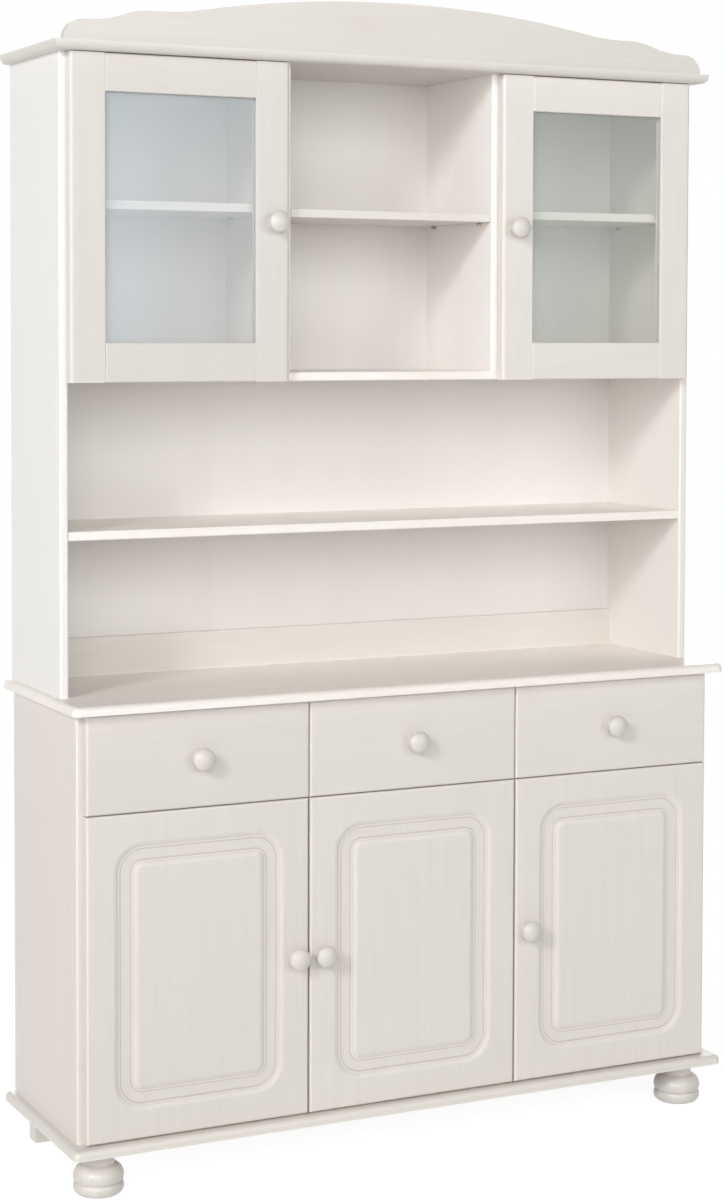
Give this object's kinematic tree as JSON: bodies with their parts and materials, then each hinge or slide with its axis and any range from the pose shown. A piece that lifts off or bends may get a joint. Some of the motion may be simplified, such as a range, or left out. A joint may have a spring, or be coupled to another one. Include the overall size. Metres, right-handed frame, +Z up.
{
  "type": "buffet and hutch",
  "caption": "Painted pine buffet and hutch: drawers over moulded cupboard doors on bun feet, with open plate shelves and glazed wall cupboards above under a shaped crest.",
  "frame": {"origin": "on the floor, midway between the ends and between the knob tips and the back", "axes": "+Z up, -Y out of the front, +X to the right when facing the front"},
  "size_m": [1.224, 0.362, 1.9289],
  "materials": {
    "painted_pine": "white stained, satin",
    "thin_panel": "white faced thin board",
    "plain_pine": "plain sanded pine",
    "glass": "clear",
    "steel": "nickel plated"
  },
  "bodies": {
    "case": {"base_board": "painted_pine", "front_feet": "painted_pine", "rear_feet": "painted_pine", "buffet_side_left": "painted_pine", "buffet_side_right": "painted_pine", "buffet_partition": "painted_pine", "drawer_deck": "painted_pine", "drawer_dividers": "painted_pine", "drawer_runners": "plain_pine", "buffet_back": "thin_panel", "buffet_shelves": "painted_pine", "worktop": "painted_pine", "hutch_side_left": "painted_pine", "hutch_side_right": "painted_pine", "hutch_partitions": "painted_pine", "cupboard_floor": "painted_pine", "hutch_shelves": "painted_pine", "long_shelf": "painted_pine", "back_rail": "painted_pine", "hutch_back": "thin_panel", "cornice": "painted_pine", "pediment": "painted_pine", "shelf_pins": "steel", "hinge_arms": "steel"},
    "drawer_left": {"drawer_left_front": "painted_pine", "drawer_left_box": "plain_pine", "drawer_left_bottom": "thin_panel", "drawer_left_knob": "painted_pine"},
    "drawer_middle": {"drawer_middle_front": "painted_pine", "drawer_middle_box": "plain_pine", "drawer_middle_bottom": "thin_panel", "drawer_middle_knob": "painted_pine"},
    "drawer_right": {"drawer_right_front": "painted_pine", "drawer_right_box": "plain_pine", "drawer_right_bottom": "thin_panel", "drawer_right_knob": "painted_pine"},
    "door_left": {"door_left_panel": "painted_pine", "door_left_knob": "painted_pine", "door_left_hinge_cups": "steel"},
    "door_left_link": {"door_left_hinge_links": "steel"},
    "door_middle": {"door_middle_panel": "painted_pine", "door_middle_knob": "painted_pine", "door_middle_hinge_cups": "steel"},
    "door_middle_link": {"door_middle_hinge_links": "steel"},
    "door_right": {"door_right_panel": "painted_pine", "door_right_knob": "painted_pine", "door_right_hinge_cups": "steel"},
    "door_right_link": {"door_right_hinge_links": "steel"},
    "glazed_door_left": {"glazed_door_left_stiles": "painted_pine", "glazed_door_left_rails": "painted_pine", "glazed_door_left_glass": "glass", "glazed_door_left_knob": "painted_pine", "glazed_door_left_hinge_cups": "steel"},
    "glazed_door_left_link": {"glazed_door_left_hinge_links": "steel"},
    "glazed_door_right": {"glazed_door_right_stiles": "painted_pine", "glazed_door_right_rails": "painted_pine", "glazed_door_right_glass": "glass", "glazed_door_right_knob": "painted_pine", "glazed_door_right_hinge_cups": "steel"},
    "glazed_door_right_link": {"glazed_door_right_hinge_links": "steel"}
  },
  "joints": [
    {"name": "drawer_left_slide", "type": "slide", "parent": "case", "child": "drawer_left", "axis": [0, -1, 0], "range_m": [0, 0.22]},
    {"name": "drawer_middle_slide", "type": "slide", "parent": "case", "child": "drawer_middle", "axis": [0, -1, 0], "range_m": [0, 0.22]},
    {"name": "drawer_right_slide", "type": "slide", "parent": "case", "child": "drawer_right", "axis": [0, -1, 0], "range_m": [0, 0.22]},
    {"name": "door_left_link_swing", "type": "hinge", "parent": "case", "child": "door_left_link", "pos_m": [-0.548, -0.137, 0], "axis": [0, 0, 1], "range_deg": [0, 47.5]},
    {"name": "door_left_swing", "type": "hinge", "parent": "door_left_link", "child": "door_left", "pos_m": [-0.569, -0.14, 0], "axis": [0, 0, -1], "range_deg": [0, 142.5]},
    {"name": "door_middle_link_swing", "type": "hinge", "parent": "case", "child": "door_middle_link", "pos_m": [0.159, -0.137, 0], "axis": [0, 0, -1], "range_deg": [0, 47.5]},
    {"name": "door_middle_swing", "type": "hinge", "parent": "door_middle_link", "child": "door_middle", "pos_m": [0.18, -0.14, 0], "axis": [0, 0, 1], "range_deg": [0, 142.5]},
    {"name": "door_right_link_swing", "type": "hinge", "parent": "case", "child": "door_right_link", "pos_m": [0.548, -0.137, 0], "axis": [0, 0, -1], "range_deg": [0, 47.5]},
    {"name": "door_right_swing", "type": "hinge", "parent": "door_right_link", "child": "door_right", "pos_m": [0.569, -0.14, 0], "axis": [0, 0, 1], "range_deg": [0, 142.5]},
    {"name": "glazed_door_left_link_swing", "type": "hinge", "parent": "case", "child": "glazed_door_left_link", "pos_m": [-0.5495, -0.0705, 0], "axis": [0, 0, 1], "range_deg": [0, 47.5]},
    {"name": "glazed_door_left_swing", "type": "hinge", "parent": "glazed_door_left_link", "child": "glazed_door_left", "pos_m": [-0.5705, -0.0735, 0], "axis": [0, 0, -1], "range_deg": [0, 142.5]},
    {"name": "glazed_door_right_link_swing", "type": "hinge", "parent": "case", "child": "glazed_door_right_link", "pos_m": [0.5495, -0.0705, 0], "axis": [0, 0, -1], "range_deg": [0, 47.5]},
    {"name": "glazed_door_right_swing", "type": "hinge", "parent": "glazed_door_right_link", "child": "glazed_door_right", "pos_m": [0.5705, -0.0735, 0], "axis": [0, 0, 1], "range_deg": [0, 142.5]}
  ],
  "couplings": [
    {"joint": "door_left_link_swing", "follows": "door_left_swing", "ratio": 0.33333},
    {"joint": "door_middle_link_swing", "follows": "door_middle_swing", "ratio": 0.33333},
    {"joint": "door_right_link_swing", "follows": "door_right_swing", "ratio": 0.33333},
    {"joint": "glazed_door_left_link_swing", "follows": "glazed_door_left_swing", "ratio": 0.33333},
    {"joint": "glazed_door_right_link_swing", "follows": "glazed_door_right_swing", "ratio": 0.33333}
  ]
}
